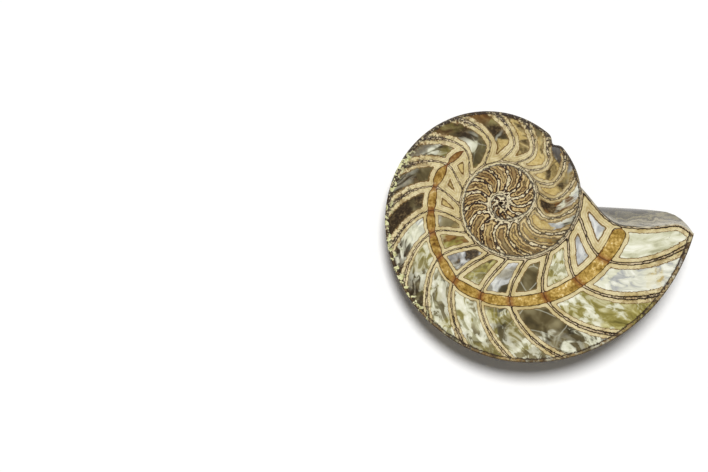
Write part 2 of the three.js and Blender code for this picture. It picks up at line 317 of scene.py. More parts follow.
columns = layColumns()
columnTurns = np.array([columnMiddle(column) for column in columns])
tubeHalves = np.array([tubeHalfWidth(turn) for turn in columnTurns])
heights = np.array([rowHeights(column) for column in columns])
rowCount = heights.shape[1]
firstTubeRow = layout["dorsalRows"] + 1
lastTubeRow = firstTubeRow + siphuncle["rows"]
tubeRows = np.arange(firstTubeRow, lastTubeRow + 1)
print("columns", len(columns), "rows", rowCount)


# Points of all columns and rows at a place around the section: [column, row, xyz]
def layerPoints(around):
    around = np.broadcast_to(around, len(columns))
    return np.array([whorlPoint(columnTurn(column, heights[i], around[i]), heights[i], around[i])
                     for i, column in enumerate(columns)])


# The groove under the siphuncle, a half round in its rows
def pressTube(points):
    swing = np.linspace(0, np.pi, siphuncle["rows"] + 1)
    grooved = points.copy()
    grooved[:, tubeRows, 2] -= tubeHalves[:, None] * np.sin(swing)
    return grooved


# The columns of a chamber, with the sides of its two septa
def columnRange(chamber):
    inside = [i for i, column in enumerate(columns) if column[0] == chamber and column[1] > 0]
    return np.arange(inside[0] - 1, inside[-1] + 2)


# how far down the chambers go; each keeps one depth from end to end
shallow = columnTurns < layout["shallowBefore"]
for chamber in range(septa["filled"]):
    shallow[columnRange(chamber)] = septa["turns"][chamber] < layout["shallowBefore"]
cutPoints = layerPoints(0)
layers = [cutPoints] + [layerPoints(np.where(shallow, a, b))
                        for a, b in zip(layout["shallowRounds"], layout["deepRounds"])]

lieTurn = np.array(lie.to_3x3())
lieShift = np.array(lie.translation)


# A flat grid to start from. Each of its points keeps a number, which the points extruded from it inherit.
def addGrid(name, acrossCount, alongCount):
    bpy.ops.object.select_all(action="DESELECT")
    bpy.ops.mesh.primitive_grid_add(x_subdivisions=acrossCount - 1, y_subdivisions=alongCount - 1,
                                    size=layout["gridSize"])
    piece = bpy.context.object
    piece.name = piece.data.name = name
    number = piece.data.attributes.new("number", "INT", "POINT")
    number.data.foreach_set("value", np.arange(len(piece.data.vertices), dtype=np.int32))
    return piece


def readAll(items, key, kind, each=1):
    values = np.empty(len(items) * each, kind)
    items.foreach_get(key, values)
    return values.reshape(-1, each) if each > 1 else values


def pointNumbers(mesh):
    return readAll(mesh.attributes["number"].data, "value", np.int32)


# Moves the selected points to where the list has them, by their number
def placePoints(piece, points):
    mesh = piece.data
    chosen = readAll(mesh.vertices, "select", bool)
    places = readAll(mesh.vertices, "co", np.float32, 3)
    world = points.reshape(-1, 3) * mm @ lieTurn.T + lieShift
    places[chosen] = world[pointNumbers(mesh)[chosen]]
    mesh.vertices.foreach_set("co", places.ravel())
    mesh.update()


def extrudeTo(piece, points):
    bpy.ops.object.mode_set(mode="EDIT")
    bpy.ops.mesh.extrude_region_move()
    bpy.ops.object.mode_set(mode="OBJECT")
    placePoints(piece, points)


def selectOnly(piece, kind, chosen):
    bpy.ops.object.mode_set(mode="EDIT")
    bpy.ops.mesh.select_mode(type=kind)
    bpy.ops.mesh.select_all(action="DESELECT")
    bpy.ops.object.mode_set(mode="OBJECT")
    (piece.data.vertices if kind == "VERT" else piece.data.polygons).foreach_set("select", chosen)


# Merges the selected points of the active piece, closes what is left open and turns every face outwards
def closeMesh():
    bpy.ops.object.mode_set(mode="EDIT")
    bpy.ops.mesh.remove_doubles(threshold=layout["mergeWithin"] * mm)
    bpy.ops.mesh.select_all(action="SELECT")
    bpy.ops.mesh.fill_holes(sides=0)
    bpy.ops.mesh.normals_make_consistent(inside=False)
    bpy.ops.object.mode_set(mode="OBJECT")


print("shell")
rounds = np.array(layout["rounds"])
sideCount = len(rounds)
loopCount = rowCount + 2 * sideCount + 1  # the last row lies on the first
pressed = pressTube(cutPoints)
loops = []
for i, column in enumerate(columns):
    outside = whorlPoint(columnTurn(column, np.ones(sideCount), rounds), 1, rounds)
    inside = whorlPoint(columnTurn(column, np.zeros(sideCount), rounds), 0, rounds)
    loops.append(np.concatenate([pressed[i], outside, inside[::-1], pressed[i, :1]]))
loops = np.array(loops)
shell = addGrid("shell_half", loopCount, len(columns))
placePoints(shell, loops)

# the chambers sink into it
pocket = np.zeros((len(columns) - 1, loopCount - 1), bool)
for chamber in range(septa["filled"]):
    inside = columnRange(chamber)
    pocket[inside[0]:inside[-1], 1:rowCount - 2] = True
selectOnly(shell, "FACE", pocket.ravel())
for layer in layers[1:]:
    deeper = np.zeros((len(columns), loopCount, 3))
    deeper[:, :rowCount] = layer
    extrudeTo(shell, deeper)

# the dish of the last septum
dishRounds = np.concatenate([[0], rounds[:-1]])
mouth, mouthHeights = columns[-1], heights[-1]
dish = np.array([whorlPoint(columnTurn(mouth, mouthHeights, around), mouthHeights, around)
                 for around in dishRounds])
lastSeptum = addGrid("last_septum", rowCount, len(dishRounds))
placePoints(lastSeptum, dish)
dishNumbers = pointNumbers(lastSeptum.data) + len(columns) * loopCount
lastSeptum.data.attributes["number"].data.foreach_set("value", dishNumbers)
shell.select_set(True)
bpy.context.view_layer.objects.active = shell
bpy.ops.object.join()

numbers = pointNumbers(shell.data)
alongOf, acrossOf = numbers // loopCount, numbers % loopCount
onSeam = (acrossOf == 0) | (acrossOf == loopCount - 1)
selectOnly(shell, "VERT", onSeam | (alongOf >= len(columns) - 1))
closeMesh()


print("chamber fills")
fills = []
for chamber in range(septa["filled"]):
    along = columnRange(chamber)
    inner = slice(1, rowCount - 1)
    piece = addGrid(f"calcite_fill_{chamber + 1:02d}", rowCount - 2, len(along))
    placePoints(piece, layers[-1][along, inner])
    for layer in [*layers[-2:0:-1], pressed]:
        extrudeTo(piece, layer[along, inner])
    bpy.ops.object.mode_set(mode="EDIT")
    bpy.ops.mesh.select_all(action="SELECT")
    bpy.ops.mesh.normals_make_consistent(inside=False)
    bpy.ops.object.mode_set(mode="OBJECT")
    fills.append(piece)


print("siphuncle")
hasTube = np.flatnonzero(tubeHalves > 0)
tubeColumns = np.arange(hasTube[0] - 1, hasTube[-1] + 2)
onFace = cutPoints[tubeColumns][:, tubeRows]
below = pressed[tubeColumns][:, tubeRows[-2:0:-1]]
tube = addGrid("siphuncle_tube", 2 * siphuncle["rows"] + 1, len(tubeColumns))
placePoints(tube, np.concatenate([onFace, below, onFace[:, :1]], 1))
closeMesh()


# Distance of points from a line of points, and which stretch of the line is nearest
def distanceTo(points, line):
    start, along = line[:-1], np.diff(line, axis=0)
    toStart = points[..., None, :] - start
    share = np.clip((toStart * along).sum(-1) / (along**2).sum(-1), 0, 1)
    distances = np.linalg.norm(toStart - share[..., None] * along, axis=-1)
    return distances.min(-1), distances.argmin(-1)


print("distances on the cut face")
farOff = 9.0  # mm, where none is near
midColumns = {column[0]: i for i, column in enumerate(columns) if column[1:] == (0, 0)}
toBack, toFront = np.full((2, *heights.shape), farOff)
for i, (index, share, side) in enumerate(columns):
    back = index + 1 if share or side < 0 else index
    front = index - 1 if side > 0 else index
    if back in midColumns:
        toBack[i] = distanceTo(cutPoints[i], cutPoints[midColumns[back]])[0]
    if front in midColumns:
        toFront[i] = distanceTo(cutPoints[i], cutPoints[midColumns[front]])[0]
tubeLine = cutPoints[hasTube][:, (firstTubeRow + lastTubeRow) // 2]
lineDistance, nearest = distanceTo(cutPoints, tubeLine)
toTube = np.minimum(lineDistance - tubeHalves[hasTube][nearest], farOff)
whorls = np.array([whorlHeight(turn) for turn in columnTurns])[:, None]
toInner = (heights - heights[:, 1:2]) * whorls
toOuter = (heights[:, -2:-1] - heights) * whorls

# What has grown in each chamber: next to the inner wall, by the siphuncle, in the middle and by the outer
# wall, a letter for each mineral; then the thickness of the nacre lining within and without the siphuncle,
# how crumbled it is, and how wide the dark lines of its septa are by the siphuncle and at the outer wall
fillings = [
    ("L", "M", "M", "MMO", 2.7, 1.5, 0.4, 0.85, 1.25),
    ("L", "LM", "MML", "MMLG", 2.2, 1.6, 0.45, 0.8, 1.25),
    ("OM", "OM", "OOOM", "O", 1.3, 1.3, 0.45, 0.8, 1.25),
    ("S", "S", "S", "SSM", 1.6, 1.2, 0.35, 0.7, 1.0),
    ("SSL", "OS", "OMS", "MMS", 1.0, 1.0, 0.3, 0.5, 0.8),
    ("SSO", "MMS", "MMO", "MSO", 1.5, 1.0, 0.35, 0.5, 0.8),
    ("LU", "MMS", "MMSO", "MO", 1.1, 0.9, 0.4, 0.45, 0.8),
    ("OA", "MMO", "MMSO", "SU", 1.2, 0.9, 0.45, 0.45, 0.85),
    ("GS", "ML", "M", "U", 1.2, 1.1, 0.5, 0.5, 0.8),
    ("G", "SSU", "U", "U", 2.2, 1.8, 0.7, 0.5, 0.8),
    ("G", "S", "UUS", "UUM", 2.6, 1.9, 0.8, 0.5, 0.8),
    ("G", "OS", "UUM", "U", 2.2, 1.8, 0.8, 0.5, 0.8),
    ("OS", "MSS", "US", "UAO", 1.1, 1.6, 0.8, 0.5, 0.8),
    ("G", "S", "SU", "AO", 2.6, 1.6, 0.6, 0.5, 0.8),
    ("GU", "G", "GU", "U", 2.2, 1.5, 0.7, 0.5, 0.8),
    ("G", "G", "GU", "SU", 1.4, 1.2, 0.8, 0.5, 0.8),
    ("G", "GU", "GUU", "UUL", 1.2, 1.2, 0.7, 0.5, 0.8),
    ("G", "UG", "GSU", "UUL", 1.2, 1.1, 0.6, 0.5, 0.8),
    ("U", "AAU", "AM", "ML", 1.2, 1.2, 0.4, 0.6, 0.8),
    ("G", "GU", "ML", "MU", 1.3, 1.3, 0.4, 0.6, 0.8),
    ("G", "GU", "GS", "US", 1.6, 1.6, 0.4, 0.6, 0.8),
    ("GU", "GU", "AU", "U", 1.6, 1.6, 0.4, 0.6, 0.8),
    ("AG", "AU", "US", "U", 1.6, 1.6, 0.4, 0.6, 0.8),
    ("GU", "AG", "UA", "UA", 1.6, 1.6, 0.4, 0.6, 0.8),
]
# further in it is all much the same
furtherIn = [("GU", "AU", "UAU", "U", 1.6, 1.6, 0.4, 0.6, 0.7),
             ("G", "UAG", "GAU", "G", 1.6, 1.6, 0.4, 0.6, 0.7)]
fillings += furtherIn * ((len(septa["turns"]) - len(fillings)) // 2)
minerals = "OSLAUGM"
growth = {
    # heights of a chamber's four zones, 0 at the siphuncle and 1 outside, and each one's part in the crumbling
    "zones": [(-0.25, 0.5), (0.12, 0.35), (0.5, 0.8), (0.92, 1.5)],
    "liningChanges": (-0.15, 0.1),  # heights between which the lining goes from one thickness to the other
    "wrinkled": (12, 24),  # chambers from which the rings fold more and more, up to fully
    "lineHeights": (-0.6, 0.1, 1),  # where a dark line has its three widths, from the inner wall outwards
    "innerLine": [(5, 0.85), (8, 0.45), (15, 0.45), (18, 0.7)],  # and the innermost of them, by chamber
    "rimFrom": 345,  # turn angle from which the whorl reaches the edge of the cut face
    "flaked": [(488, 500), (570, 595)],  # turn angles where the rim's yellow-green patches come and go
}
zoneHeights, zoneCrumble = zip(*growth["zones"])
weights = np.zeros((*heights.shape, len(minerals)))
lining, crumble, wrinkle, lineWidth = np.zeros((4, *heights.shape))
for i, (index, share, side) in enumerate(columns):
    chamber = index if share or side <= 0 else index - 1
    filling = fillings[min(max(chamber, 0), len(fillings) - 1)]
    middle = smoothTable(siphuncle["share"], columnTurns[i])
    above = (heights[i] - middle) / (1 - middle)
    for j, mineral in enumerate(minerals):
        parts = [letters.count(mineral) / len(letters) for letters in filling[:4]]
        weights[i, :, j] = np.interp(above, zoneHeights, parts)
    lining[i] = np.interp(above, growth["liningChanges"], filling[4:6])
    crumble[i] = filling[6] * np.interp(above, zoneHeights, zoneCrumble)
    wrinkle[i] = smoothStep(chamber, *growth["wrinkled"])
    atInnerWall = np.interp(chamber, *zip(*growth["innerLine"]))
    lineWidth[i] = np.interp(above, growth["lineHeights"], [atInnerWall, *filling[7:]])

toRim = np.where((columnTurns > growth["rimFrom"])[:, None], (1 - heights) * whorls, farOff)
comes, goes = (smoothStep(columnTurns, *turns) for turns in growth["flaked"])
flaked = np.broadcast_to((comes - goes)[:, None], heights.shape)


# Lays named triples of numbers on the points of a piece, by their number
def markPoints(piece, marks):
    numbers = pointNumbers(piece.data)
    for name, values in marks.items():
        values = values.reshape(-1, 3)
        kept = np.zeros((len(numbers), 3), np.float32)
        known = numbers < len(values)
        kept[known] = values[numbers[known]]
        piece.data.attributes.new(name, "FLOAT_VECTOR", "POINT").data.foreach_set("vector", kept.ravel())


cutMarks = {
    "rings": np.stack([toBack, toFront, toTube], -1),
    "walls": np.stack([toInner, toOuter, lining], -1),
    "minerals": weights[..., :3],
    "stains": weights[..., 3:6],
    "wear": np.stack([crumble, wrinkle, weights[..., 6]], -1),
    "rim": np.stack([lineWidth, toRim, flaked], -1),
}
for chamber, piece in enumerate(fills):
    along = columnRange(chamber)
    markPoints(piece, {name: values[along][:, 1:rowCount - 1] for name, values in cutMarks.items()})

# on the outside, the distance from the nearest suture, the turn angle and the place round the flank
sides = loops[:, rowCount:rowCount + sideCount]
toSuture = np.full((len(columns), sideCount), farOff)
for i, column in enumerate(columns):
    for near in range(column[0] - 1, column[0] + 2):
        if near in midColumns:
            away = np.linalg.norm(sides[i] - sides[midColumns[near]], axis=-1)
            toSuture[i] = np.minimum(toSuture[i], away)
shellMarks = {}
for name, values in cutMarks.items():
    spread = np.zeros((len(columns), loopCount, 3))
    spread[:, :rowCount] = values
    spread[:, -1] = values[:, 0]
    shellMarks[name] = spread
toSeptum = np.minimum(toBack, toFront)
flankMarks = np.zeros((len(columns), loopCount, 3))
flankMarks[:, rowCount:rowCount + sideCount, 0] = toSuture
flankMarks[:, rowCount - 1, 0] = toSeptum[:, -1]
flankMarks[:, :, 1] = columnTurns[:, None]
flankMarks[:, rowCount:rowCount + sideCount, 2] = rounds
# and in the dish, the place round it
dishMarks = np.zeros((len(dishRounds), rowCount, 3))
dishMarks[..., 2] = dishRounds[:, None]
shellMarks["flank"] = np.concatenate([flankMarks.reshape(-1, 3), dishMarks.reshape(-1, 3)])
markPoints(shell, shellMarks)

# on the siphuncle, the distances from its edge and from the nearest septum, and how brown it is
inTube = -toTube[tubeColumns][:, tubeRows]
bead, tinge = (much * (1 - smoothStep(columnTurns[tubeColumns], low, high))
               for much, low, high in (siphuncle["brownBead"], siphuncle["brownTinge"]))
brown = np.broadcast_to((bead + tinge)[:, None], inTube.shape)
tubeMarks = np.stack([inTube, toSeptum[tubeColumns][:, tubeRows], brown], -1)
belowMarks = np.zeros((len(tubeColumns), siphuncle["rows"], 3))
markPoints(tube, {"edge": np.concatenate([tubeMarks, belowMarks], 1)})

print("pieces to the frame")
for piece in [shell, tube, *fills]:
    bpy.ops.object.select_all(action="DESELECT")
    piece.select_set(True)
    bpy.context.view_layer.objects.active = piece
    bpy.ops.object.shade_smooth_by_angle(angle=math.radians(layout["smoothAngle"]))
    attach(piece, "root")
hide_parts("shell")
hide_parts("siphuncle")
for chamber, piece in enumerate(fills):
    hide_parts(f"chamber_fill_{chamber + 1:02d}")


def linear(colour):
    parts = [int(colour[i:i + 2], 16) / 255 for i in (1, 3, 5)]
    return [p / 12.92 if p <= 0.04045 else ((p + 0.055) / 1.055) ** 2.4 for p in parts] + [1]


# Adds a node with its settings, and gives its sockets a value or a link. A node stands for its first output.
def addNode(tree, kind, settings=None, inputs=None):
    node = tree.nodes.new(kind)
    for name, value in (settings or {}).items():
        if name == "stops":
            for _ in range(len(value) - 2):
                node.color_ramp.elements.new(0.5)
            for element, (position, colour) in zip(node.color_ramp.elements, value):
                element.position = position
                element.color = linear(colour)
        else:
            setattr(node, name, value)
    for name, value in (inputs or {}).items():
        if isinstance(value, bpy.types.Node):
            value = value.outputs[0]
        if isinstance(value, bpy.types.NodeSocket):
            tree.links.new(value, node.inputs[name])
        else:
            node.inputs[name].default_value = value
    return node


# Gives a row of numbers to a node's sockets, from its second one on
def fromSecond(numbers):
    return dict(enumerate(numbers, 1))


def newMaterial(name):
    material = bpy.data.materials.new(name)
    material.use_nodes = True
    return material, material.node_tree, material.node_tree.nodes["Principled BSDF"]


# In the materials' dictionaries, four numbers are a value's low and high end, and what is made of it there.
# Sizes are in mm, and a noise's first number is its features per mm.
section = {
    "ringReach": 3.2,  # that the ramps across the lining cover
    "rings": [(0.0, "#CDBC9C"), (0.05, "#B9A680"), (0.085, "#2A1D13"), (0.165, "#20160E"), (0.20, "#665030"),
              (0.235, "#CDBC88"), (0.30, "#DFD3A8"), (0.37, "#C6B482"), (0.42, "#E0D5AE"), (0.50, "#D6C99C"),
              (0.57, "#CBBA88"), (0.62, "#EBE3C4"), (0.66, "#B89C64"), (0.69, "#664A24"), (0.72, "#735B32"),
              (0.77, "#94855C")],
    # the early chambers have a thin pale septum between dark seams, and brown bands beside it
    "earlyRings": [(0.0, "#DCD0A8"), (0.075, "#EADFBC"), (0.115, "#6A4A28"), (0.16, "#1A1008"),
                   (0.27, "#2E1C0E"), (0.33, "#74542C"), (0.375, "#C0A46C"), (0.46, "#D8C490"),
                   (0.51, "#967846"), (0.56, "#2A1A0D"), (0.62, "#4A3018"), (0.69, "#A4854F"),
                   (0.85, "#C6AE76")],
    "darkReach": 0.7,  # from its middle to the outer side of a septum's dark line, where it is widest
    "liningMm": 1.6,  # thickness of lining that the ramps are drawn for
    "byWall": 0.45,  # how far along the ramps the walls begin, at the widest dark line
    "byTube": 0.6,  # and the siphuncle
    "septaCorner": 0.8,  # over which rings that meet are rounded
    "corner": 1.2,
    # scale, detail and roughness
    "noises": {"waver": (0.45, 2, 0.5), "fold": (0.55, 2, 0.5), "grit": (1.0, 3, 0.65),
               "cloud": (0.14, 2.5, 0.5)},
    "twist": 0.6,
    "bend": (0.3, 0.7, -0.16, 0.16),  # how far noise moves the rings
    "fold": (0.3, 0.7, -0.45, 0.45),  # and in the early chambers
    "chip": (0.3, 0.7, -0.5, 0.5),  # and where it is crumbled
    "coreFrom": (0.75, 1, 2.3, 1.7),  # where the lining ends, by how early the chamber is
    "coreEdge": 0.3,
    "coreMost": (0.75, 1, 1.0, 0.4),
    "stained": (0.42, 0.65, 0.0, 0.6),  # the nacre is browner in places
    "stain": "#CFC094",
    "rusty": (0.47, 0.62, 0.0, 0.85),  # and rusty where it is crumbled
    "rust": "#94744C",
    "pitHeight": 0.2,
    "pitStrength": 0.12,
    "polished": (0.3, 0.7),
}
crystal = {
    "shades": {
        "M": [(0.25, "#9E9C7C"), (0.42, "#C9C8AA"), (0.58, "#E0DFC8"), (0.75, "#F5F4E6")],  # milky
        "O": [(0.25, "#5C5424"), (0.5, "#968B48"), (0.75, "#CAC286")],  # olive
        "S": [(0.25, "#352E1C"), (0.5, "#5A4F32"), (0.75, "#8C8260")],  # smoky
        "L": [(0.25, "#78797A"), (0.45, "#B0B1AE"), (0.6, "#D6D6D0"), (0.75, "#F0F0EA")],  # lilac grey
        "A": [(0.25, "#3A200C"), (0.5, "#68441E"), (0.75, "#A07C44")],  # amber
        "U": [(0.28, "#17110B"), (0.5, "#382B1B"), (0.64, "#6E5C3C"), (0.75, "#A8966A")],  # umber
        "G": [(0.25, "#8C7440"), (0.5, "#C2AA6C"), (0.75, "#DCCC98")],  # golden
    },
    "streaks": (0.3, 0.14, 0),  # features per mm across a chamber and along it
    "streakDrift": (0.1, 0.1, 0.1),
    "streakNoise": {"Scale": 1, "Detail": 3.5, "Roughness": 0.58, "Distortion": 0.8},
    "calm": (1.4, -0.2),  # the smoky mineral has soft clouds instead, with this contrast and shift
    "peppered": 0.6,  # how grainy the dark and the golden one are
    "shared": (0.44, 0.56, 0.03, 1.0),  # how sharply clouds share a chamber out between its minerals
    "crack": 0.08,  # per mm
    "crackBend": 0.9,
    "crackShown": (0.0, 0.025, 0.45, 0.0),
    "crackSound": (0.3, 0.5, 1.0, 0.0),  # only where it isn't crumbled
    "crackColour": "#D8D8C4",
}
faceEdges = {
    "worn": (0.42, 0.56, 0.95, 0.35),  # the outer wall is ground thin, so that the chambers show through it
    "wallInside": (0.3, 0.0, 0.0, 1.0),
    "wallCloud": 0.8,
    "wallGrit": 0.6,
    "wallShift": -0.2,
    "wall": [(0.3, "#241A10"), (0.44, "#544028"), (0.58, "#94794A"), (0.75, "#D0C292")],
    "earlyWall": "#CBBF9C",
    "ragged": (0.3, 0.7, -0.4, 0.4),  # how far grit moves the dark line along the wall's inside
    "lineShown": (0.16, 0.36, 0.92, 0.0),
    "rimShown": (0.2, 0.5, 0.75, 0.0),
    "line": "#33261A",
    "grainBySeptum": (0.8, 1.6, 1.0, 0.35),  # black and pale grains lie along the septa and the outer wall
    "grainByRim": (0.2, 1.4, 1.0, 0.0),
    "darkMore": 0.3,
    "darkShown": (0.72, 0.8, 0.0, 0.85),
    "darkGrain": "#2A1E15",
    "paleMore": -0.2,
    "paleShown": (0.22, 0.16, 0.0, 0.6),
    "paleGrain": "#DDD0AA",
    "patchReach": (1.8, 3.2, 1.0, 0.0),  # yellow-green patches are this far from the rim
    "patchShown": (0.55, 0.58, 0.0, 1.0),
    "patch": [(0.3, "#8E8E54"), (0.5, "#D2D09A"), (0.7, "#ECE9C6")],
}


# How far across the rings a place is: the distance from the middle of the nearest septum, or what stands for
# it by the walls and the siphuncle, moved by noise. Up to the dark line it stretches with that, beyond it with
# the lining.
def ringPlace(tree, marks, bySepta, bend, noises):
    lineWidth, (crumbled, early) = marks["rim"][0], marks["wear"][:2]
    byWall = addNode(tree, "ShaderNodeMath", {"operation": "MULTIPLY_ADD"},
                     {0: lineWidth, 1: section["byWall"], 2: marks["walls"][0]})
    byTube = addNode(tree, "ShaderNodeMath", {"operation": "MULTIPLY_ADD"},
                     {0: lineWidth, 1: section["byTube"], 2: marks["rings"][2]})
    away = bySepta
    for other in (byWall, byTube):
        away = addNode(tree, "ShaderNodeMath", {"operation": "SMOOTH_MIN"},
                       {0: away, 1: other, 2: section["corner"]})
    fold = addNode(tree, "ShaderNodeMapRange", {}, {0: noises["fold"], **fromSecond(section["fold"])})
    fold = addNode(tree, "ShaderNodeMath", {"operation": "MULTIPLY"}, {0: fold, 1: early})
    away = addNode(tree, "ShaderNodeMath", {"operation": "ADD"}, {0: away, 1: fold})
    away = addNode(tree, "ShaderNodeMath", {"operation": "ABSOLUTE"}, {0: away})
    chip = addNode(tree, "ShaderNodeMapRange", {}, {0: noises["grit"], **fromSecond(section["chip"])})
    chip = addNode(tree, "ShaderNodeMath", {"operation": "MULTIPLY"}, {0: chip, 1: crumbled})
    away = addNode(tree, "ShaderNodeMath", {"operation": "ADD"}, {0: away, 1: bend})
    away = addNode(tree, "ShaderNodeMath", {"operation": "ADD"}, {0: away, 1: chip})
    reach = addNode(tree, "ShaderNodeMath", {"operation": "MULTIPLY"}, {0: lineWidth, 1: section["darkReach"]})
    near = addNode(tree, "ShaderNodeMath", {"operation": "MINIMUM"}, {0: away, 1: reach})
    beyond = addNode(tree, "ShaderNodeMath", {"operation": "SUBTRACT"}, {0: away, 1: near})
    near = addNode(tree, "ShaderNodeMath", {"operation": "DIVIDE"}, {0: near, 1: lineWidth})
    stretch = addNode(tree, "ShaderNodeMath", {"operation": "DIVIDE"},
                      {0: section["liningMm"], 1: marks["walls"][2]})
    return addNode(tree, "ShaderNodeMath", {"operation": "MULTIPLY_ADD"},
                   {0: beyond, 1: stretch, 2: near})


# The crystals in a chamber: where it has several minerals, clouds of noise share it out between them
def crystalColour(tree, mms, marks, noises, clouds):
    inChamber = addNode(tree, "ShaderNodeCombineXYZ", {}, {0: marks["rings"][0], 1: marks["walls"][1]})
    streaks = addNode(tree, "ShaderNodeVectorMath", {"operation": "MULTIPLY"},
                      {0: inChamber, 1: crystal["streaks"]})
    streaks = addNode(tree, "ShaderNodeVectorMath", {"operation": "MULTIPLY_ADD"},
                      {0: mms, 1: crystal["streakDrift"], 2: streaks})
    streaky = addNode(tree, "ShaderNodeTexNoise", {},
                      {"Vector": streaks, **crystal["streakNoise"]}).outputs["Fac"]
    calm = addNode(tree, "ShaderNodeMath", {"operation": "MULTIPLY_ADD"},
                   {0: clouds[2], **fromSecond(crystal["calm"])})
    peppered = addNode(tree, "ShaderNodeMix", {"data_type": "FLOAT"},
                       {0: crystal["peppered"], 2: streaky, 3: noises["grit"]})
    shadeOf = {"S": calm, "U": peppered, "G": peppered}
    turned = [addNode(tree, "ShaderNodeMath", {"operation": "SUBTRACT"}, {0: 1, 1: cloud}) for cloud in clouds]
    amounts = [*marks["minerals"], *marks["stains"], marks["wear"][2]]
    sums, total = None, None
    for mineral, patch, amount in zip(minerals, [*clouds, *turned, streaky], amounts):
        strong = addNode(tree, "ShaderNodeMapRange", {"interpolation_type": "SMOOTHSTEP"},
                         {0: patch, **fromSecond(crystal["shared"])})
        strong = addNode(tree, "ShaderNodeMath", {"operation": "MULTIPLY"}, {0: strong, 1: amount})
        tint = addNode(tree, "ShaderNodeValToRGB", {"stops": crystal["shades"][mineral]},
                       {0: shadeOf.get(mineral, streaky)})
        part = addNode(tree, "ShaderNodeVectorMath", {"operation": "SCALE"}, {0: tint, "Scale": strong})
        if sums is None:
            sums, total = part, strong
        else:
            sums = addNode(tree, "ShaderNodeVectorMath", {"operation": "ADD"}, {0: sums, 1: part})
            total = addNode(tree, "ShaderNodeMath", {"operation": "ADD"}, {0: total, 1: strong})
    each = addNode(tree, "ShaderNodeMath", {"operation": "DIVIDE"}, {0: 1, 1: total})
    return addNode(tree, "ShaderNodeVectorMath", {"operation": "SCALE"}, {0: sums, "Scale": each})


# Pale cracks in the smoky mineral, where it is sound
def addCracks(tree, colour, mms, marks, cloud):
    bent = addNode(tree, "ShaderNodeMix", {"data_type": "RGBA", "blend_type": "LINEAR_LIGHT"},
                   {0: crystal["crackBend"], 6: mms, 7: cloud})
    crack = addNode(tree, "ShaderNodeTexVoronoi", {"feature": "DISTANCE_TO_EDGE"},
                    {"Vector": bent.outputs[2], "Scale": crystal["crack"]})
    shown = addNode(tree, "ShaderNodeMapRange", {},
                    {0: crack.outputs["Distance"], **fromSecond(crystal["crackShown"])})
    sound = addNode(tree, "ShaderNodeMapRange", {}, {0: marks["wear"][0], **fromSecond(crystal["crackSound"])})
    for limit in (marks["minerals"][1], sound):
        shown = addNode(tree, "ShaderNodeMath", {"operation": "MULTIPLY"}, {0: shown, 1: limit})
    return addNode(tree, "ShaderNodeMix", {"data_type": "RGBA"},
                   {0: shown, 6: colour, 7: linear(crystal["crackColour"])}).outputs[2]


# The outer wall, with a dark line along its inside and along the rim
def addWall(tree, colour, marks, bend, noises, cloud):
    toOuterWall, early = marks["walls"][1], marks["wear"][1]
    worn = addNode(tree, "ShaderNodeMapRange", {}, {0: noises["waver"], **fromSecond(faceEdges["worn"])})
    inside = addNode(tree, "ShaderNodeMapRange", {}, {0: toOuterWall, **fromSecond(faceEdges["wallInside"])})
    late, earlier = (addNode(tree, "ShaderNodeMath", {"operation": "MULTIPLY"}, {0: much, 1: inside})
                     for much in (worn, early))
    shown = addNode(tree, "ShaderNodeMath", {"operation": "MAXIMUM"}, {0: late, 1: earlier})
    shade = addNode(tree, "ShaderNodeMath", {"operation": "MULTIPLY_ADD"},
                    {0: noises["grit"], 1: faceEdges["wallGrit"], 2: faceEdges["wallShift"]})
    shade = addNode(tree, "ShaderNodeMath", {"operation": "MULTIPLY_ADD"},
                    {0: cloud, 1: faceEdges["wallCloud"], 2: shade})
    wall = addNode(tree, "ShaderNodeValToRGB", {"stops": faceEdges["wall"]}, {0: shade})
    wall = addNode(tree, "ShaderNodeMix", {"data_type": "RGBA"},
                   {0: early, 6: wall, 7: linear(faceEdges["earlyWall"])})
    colour = addNode(tree, "ShaderNodeMix", {"data_type": "RGBA"},
                     {0: shown, 6: colour, 7: wall.outputs[2]}).outputs[2]
    ragged = addNode(tree, "ShaderNodeMapRange", {}, {0: noises["grit"], **fromSecond(faceEdges["ragged"])})
    toLine = addNode(tree, "ShaderNodeMath", {"operation": "ADD"}, {0: toOuterWall, 1: bend})
    toLine = addNode(tree, "ShaderNodeMath", {"operation": "ADD"}, {0: toLine, 1: ragged})
    toLine = addNode(tree, "ShaderNodeMath", {"operation": "ABSOLUTE"}, {0: toLine})
    line = addNode(tree, "ShaderNodeMapRange", {}, {0: toLine, **fromSecond(faceEdges["lineShown"])})
    rim = addNode(tree, "ShaderNodeMapRange", {}, {0: marks["rim"][1], **fromSecond(faceEdges["rimShown"])})
    line = addNode(tree, "ShaderNodeMath", {"operation": "MAXIMUM"}, {0: line, 1: rim})
    return addNode(tree, "ShaderNodeMix", {"data_type": "RGBA"},
                   {0: line, 6: colour, 7: linear(faceEdges["line"])}).outputs[2]


